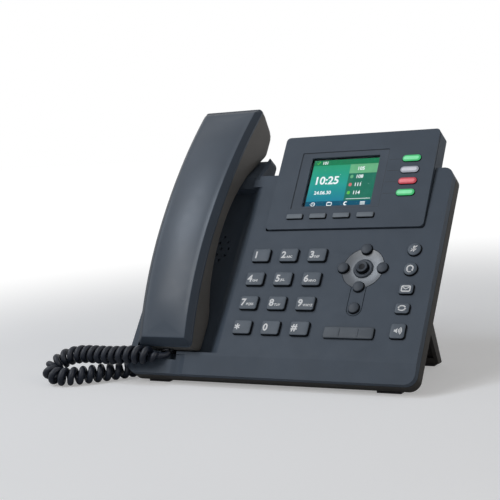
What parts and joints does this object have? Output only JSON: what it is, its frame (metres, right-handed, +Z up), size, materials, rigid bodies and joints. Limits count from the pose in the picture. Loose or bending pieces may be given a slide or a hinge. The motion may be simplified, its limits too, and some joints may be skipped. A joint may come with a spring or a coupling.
{
  "type": "desk ip phone",
  "caption": "Sloping desk telephone with a colour display, keypad, corded handset in a side cradle and a rear stand.",
  "frame": {"origin": "on the table, under the middle of the phone without its cord", "axes": "+Z up, +Y away from the user, +X to the user's right"},
  "size_m": [0.2704, 0.154, 0.178],
  "materials": {
    "cover_plastic": "fine matt moulded texture",
    "rear_plastic": "matt moulded",
    "screen_lens": "clear window",
    "screen": "lit colour display",
    "indicator_red": "translucent red",
    "circuit_board": "solder resist",
    "key_rubber": "silicone sheet",
    "nav_silver": "satin silver",
    "speaker_metal": "satin",
    "black_plastic": "moulded",
    "foot_rubber": "matt",
    "steel": "zinc plated",
    "cord_skin": "smooth vinyl",
    "plug_plastic": "moulded",
    "line_green": "lit green",
    "line_grey": "lit white",
    "line_red": "lit red",
    "key_plastic": "matt key"
  },
  "bodies": {
    "base": {"front_cover": "cover_plastic", "rear_cover": "rear_plastic", "display_housing": "cover_plastic", "display_back": "rear_plastic", "display_lens": "screen_lens", "lcd_panel": "screen", "indicator_lens": "indicator_red", "main_board": "circuit_board", "keypad_board": "circuit_board", "key_mat": "key_rubber", "nav_plate": "nav_silver", "loudspeaker": "speaker_metal", "hook_switch": "black_plastic", "network_jacks": "black_plastic", "handset_jacks": "black_plastic", "power_jack": "black_plastic", "stand": "rear_plastic", "rubber_feet": "foot_rubber", "case_screws": "steel", "handset_cord": "cord_skin", "base_plug": "plug_plastic"},
    "handset": {"handset_back_shell": "cover_plastic", "handset_face_shell": "cover_plastic", "handset_receiver": "speaker_metal", "handset_microphone": "speaker_metal", "handset_weight": "steel", "handset_plug": "plug_plastic"},
    "key_1": {"key_1": "key_plastic"},
    "key_2": {"key_2": "key_plastic"},
    "key_3": {"key_3": "key_plastic"},
    "key_4": {"key_4": "key_plastic"},
    "key_5": {"key_5": "key_plastic"},
    "key_6": {"key_6": "key_plastic"},
    "key_7": {"key_7": "key_plastic"},
    "key_8": {"key_8": "key_plastic"},
    "key_9": {"key_9": "key_plastic"},
    "key_star": {"key_star": "key_plastic"},
    "key_0": {"key_0": "key_plastic"},
    "key_hash": {"key_hash": "key_plastic"},
    "nav_up": {"nav_up": "key_plastic"},
    "nav_down": {"nav_down": "key_plastic"},
    "nav_left": {"nav_left": "key_plastic"},
    "nav_right": {"nav_right": "key_plastic"},
    "nav_ok": {"nav_ok": "key_plastic"},
    "nav_back": {"nav_back": "key_plastic"},
    "mute_key": {"mute_key": "key_plastic"},
    "headset_key": {"headset_key": "key_plastic"},
    "message_key": {"message_key": "key_plastic"},
    "redial_key": {"redial_key": "key_plastic"},
    "speaker_key": {"speaker_key": "key_plastic"},
    "soft_key_1": {"soft_key_1": "key_plastic"},
    "soft_key_2": {"soft_key_2": "key_plastic"},
    "soft_key_3": {"soft_key_3": "key_plastic"},
    "soft_key_4": {"soft_key_4": "key_plastic"},
    "line_key_1": {"line_key_1": "line_green"},
    "line_key_2": {"line_key_2": "line_grey"},
    "line_key_3": {"line_key_3": "line_red"},
    "line_key_4": {"line_key_4": "line_green"},
    "volume_rocker": {"volume_rocker": "key_plastic"},
    "hook_lever": {"hook_lever": "key_plastic"}
  },
  "joints": [
    {"name": "handset_lift", "type": "slide", "parent": "base", "child": "handset", "axis": [0, -0.788, 0.6157], "range_m": [0, 0.12]},
    {"name": "key_1_press", "type": "slide", "parent": "base", "child": "key_1", "axis": [0, 0.788, -0.6157], "range_m": [0, 0.0012], "stiffness_N_per_m": 200, "springref_m": -0.0003},
    {"name": "key_2_press", "type": "slide", "parent": "base", "child": "key_2", "axis": [0, 0.788, -0.6157], "range_m": [0, 0.0012], "stiffness_N_per_m": 200, "springref_m": -0.0003},
    {"name": "key_3_press", "type": "slide", "parent": "base", "child": "key_3", "axis": [0, 0.788, -0.6157], "range_m": [0, 0.0012], "stiffness_N_per_m": 200, "springref_m": -0.0003},
    {"name": "key_4_press", "type": "slide", "parent": "base", "child": "key_4", "axis": [0, 0.788, -0.6157], "range_m": [0, 0.0012], "stiffness_N_per_m": 200, "springref_m": -0.0003},
    {"name": "key_5_press", "type": "slide", "parent": "base", "child": "key_5", "axis": [0, 0.788, -0.6157], "range_m": [0, 0.0012], "stiffness_N_per_m": 200, "springref_m": -0.0003},
    {"name": "key_6_press", "type": "slide", "parent": "base", "child": "key_6", "axis": [0, 0.788, -0.6157], "range_m": [0, 0.0012], "stiffness_N_per_m": 200, "springref_m": -0.0003},
    {"name": "key_7_press", "type": "slide", "parent": "base", "child": "key_7", "axis": [0, 0.788, -0.6157], "range_m": [0, 0.0012], "stiffness_N_per_m": 200, "springref_m": -0.0003},
    {"name": "key_8_press", "type": "slide", "parent": "base", "child": "key_8", "axis": [0, 0.788, -0.6157], "range_m": [0, 0.0012], "stiffness_N_per_m": 200, "springref_m": -0.0003},
    {"name": "key_9_press", "type": "slide", "parent": "base", "child": "key_9", "axis": [0, 0.788, -0.6157], "range_m": [0, 0.0012], "stiffness_N_per_m": 200, "springref_m": -0.0003},
    {"name": "key_star_press", "type": "slide", "parent": "base", "child": "key_star", "axis": [0, 0.788, -0.6157], "range_m": [0, 0.0012], "stiffness_N_per_m": 200, "springref_m": -0.0003},
    {"name": "key_0_press", "type": "slide", "parent": "base", "child": "key_0", "axis": [0, 0.788, -0.6157], "range_m": [0, 0.0012], "stiffness_N_per_m": 200, "springref_m": -0.0003},
    {"name": "key_hash_press", "type": "slide", "parent": "base", "child": "key_hash", "axis": [0, 0.788, -0.6157], "range_m": [0, 0.0012], "stiffness_N_per_m": 200, "springref_m": -0.0003},
    {"name": "nav_up_press", "type": "slide", "parent": "base", "child": "nav_up", "axis": [0, 0.788, -0.6157], "range_m": [0, 0.001], "stiffness_N_per_m": 200, "springref_m": -0.0003},
    {"name": "nav_down_press", "type": "slide", "parent": "base", "child": "nav_down", "axis": [0, 0.788, -0.6157], "range_m": [0, 0.001], "stiffness_N_per_m": 200, "springref_m": -0.0003},
    {"name": "nav_left_press", "type": "slide", "parent": "base", "child": "nav_left", "axis": [0, 0.788, -0.6157], "range_m": [0, 0.001], "stiffness_N_per_m": 200, "springref_m": -0.0003},
    {"name": "nav_right_press", "type": "slide", "parent": "base", "child": "nav_right", "axis": [0, 0.788, -0.6157], "range_m": [0, 0.001], "stiffness_N_per_m": 200, "springref_m": -0.0003},
    {"name": "nav_ok_press", "type": "slide", "parent": "base", "child": "nav_ok", "axis": [0, 0.788, -0.6157], "range_m": [0, 0.001], "stiffness_N_per_m": 200, "springref_m": -0.0003},
    {"name": "nav_back_press", "type": "slide", "parent": "base", "child": "nav_back", "axis": [0, 0.788, -0.6157], "range_m": [0, 0.001], "stiffness_N_per_m": 200, "springref_m": -0.0003},
    {"name": "mute_key_press", "type": "slide", "parent": "base", "child": "mute_key", "axis": [0, 0.788, -0.6157], "range_m": [0, 0.001], "stiffness_N_per_m": 200, "springref_m": -0.0003},
    {"name": "headset_key_press", "type": "slide", "parent": "base", "child": "headset_key", "axis": [0, 0.788, -0.6157], "range_m": [0, 0.001], "stiffness_N_per_m": 200, "springref_m": -0.0003},
    {"name": "message_key_press", "type": "slide", "parent": "base", "child": "message_key", "axis": [0, 0.788, -0.6157], "range_m": [0, 0.001], "stiffness_N_per_m": 200, "springref_m": -0.0003},
    {"name": "redial_key_press", "type": "slide", "parent": "base", "child": "redial_key", "axis": [0, 0.788, -0.6157], "range_m": [0, 0.001], "stiffness_N_per_m": 200, "springref_m": -0.0003},
    {"name": "speaker_key_press", "type": "slide", "parent": "base", "child": "speaker_key", "axis": [0, 0.788, -0.6157], "range_m": [0, 0.001], "stiffness_N_per_m": 200, "springref_m": -0.0003},
    {"name": "soft_key_1_press", "type": "slide", "parent": "base", "child": "soft_key_1", "axis": [0, 0.809, -0.5878], "range_m": [0, 0.0008], "stiffness_N_per_m": 200, "springref_m": -0.0003},
    {"name": "soft_key_2_press", "type": "slide", "parent": "base", "child": "soft_key_2", "axis": [0, 0.809, -0.5878], "range_m": [0, 0.0008], "stiffness_N_per_m": 200, "springref_m": -0.0003},
    {"name": "soft_key_3_press", "type": "slide", "parent": "base", "child": "soft_key_3", "axis": [0, 0.809, -0.5878], "range_m": [0, 0.0008], "stiffness_N_per_m": 200, "springref_m": -0.0003},
    {"name": "soft_key_4_press", "type": "slide", "parent": "base", "child": "soft_key_4", "axis": [0, 0.809, -0.5878], "range_m": [0, 0.0008], "stiffness_N_per_m": 200, "springref_m": -0.0003},
    {"name": "line_key_1_press", "type": "slide", "parent": "base", "child": "line_key_1", "axis": [0, 0.809, -0.5878], "range_m": [0, 0.0008], "stiffness_N_per_m": 200, "springref_m": -0.0003},
    {"name": "line_key_2_press", "type": "slide", "parent": "base", "child": "line_key_2", "axis": [0, 0.809, -0.5878], "range_m": [0, 0.0008], "stiffness_N_per_m": 200, "springref_m": -0.0003},
    {"name": "line_key_3_press", "type": "slide", "parent": "base", "child": "line_key_3", "axis": [0, 0.809, -0.5878], "range_m": [0, 0.0008], "stiffness_N_per_m": 200, "springref_m": -0.0003},
    {"name": "line_key_4_press", "type": "slide", "parent": "base", "child": "line_key_4", "axis": [0, 0.809, -0.5878], "range_m": [0, 0.0008], "stiffness_N_per_m": 200, "springref_m": -0.0003},
    {"name": "volume_rock", "type": "hinge", "parent": "base", "child": "volume_rocker", "pos_m": [0.0561, -0.04546, 0.0328], "axis": [0, 0.6157, 0.788], "range_deg": [-3, 3], "stiffness_Nm_per_rad": 0.05},
    {"name": "hook_rise", "type": "hinge", "parent": "base", "child": "hook_lever", "pos_m": [-0.073, 0.01978, 0.09388], "axis": [1, 0, 0], "range_deg": [0, 5]}
  ],
  "couplings": [
    {"joint": "hook_rise", "follows": "handset_lift", "rad_per_m": 0.727}
  ]
}
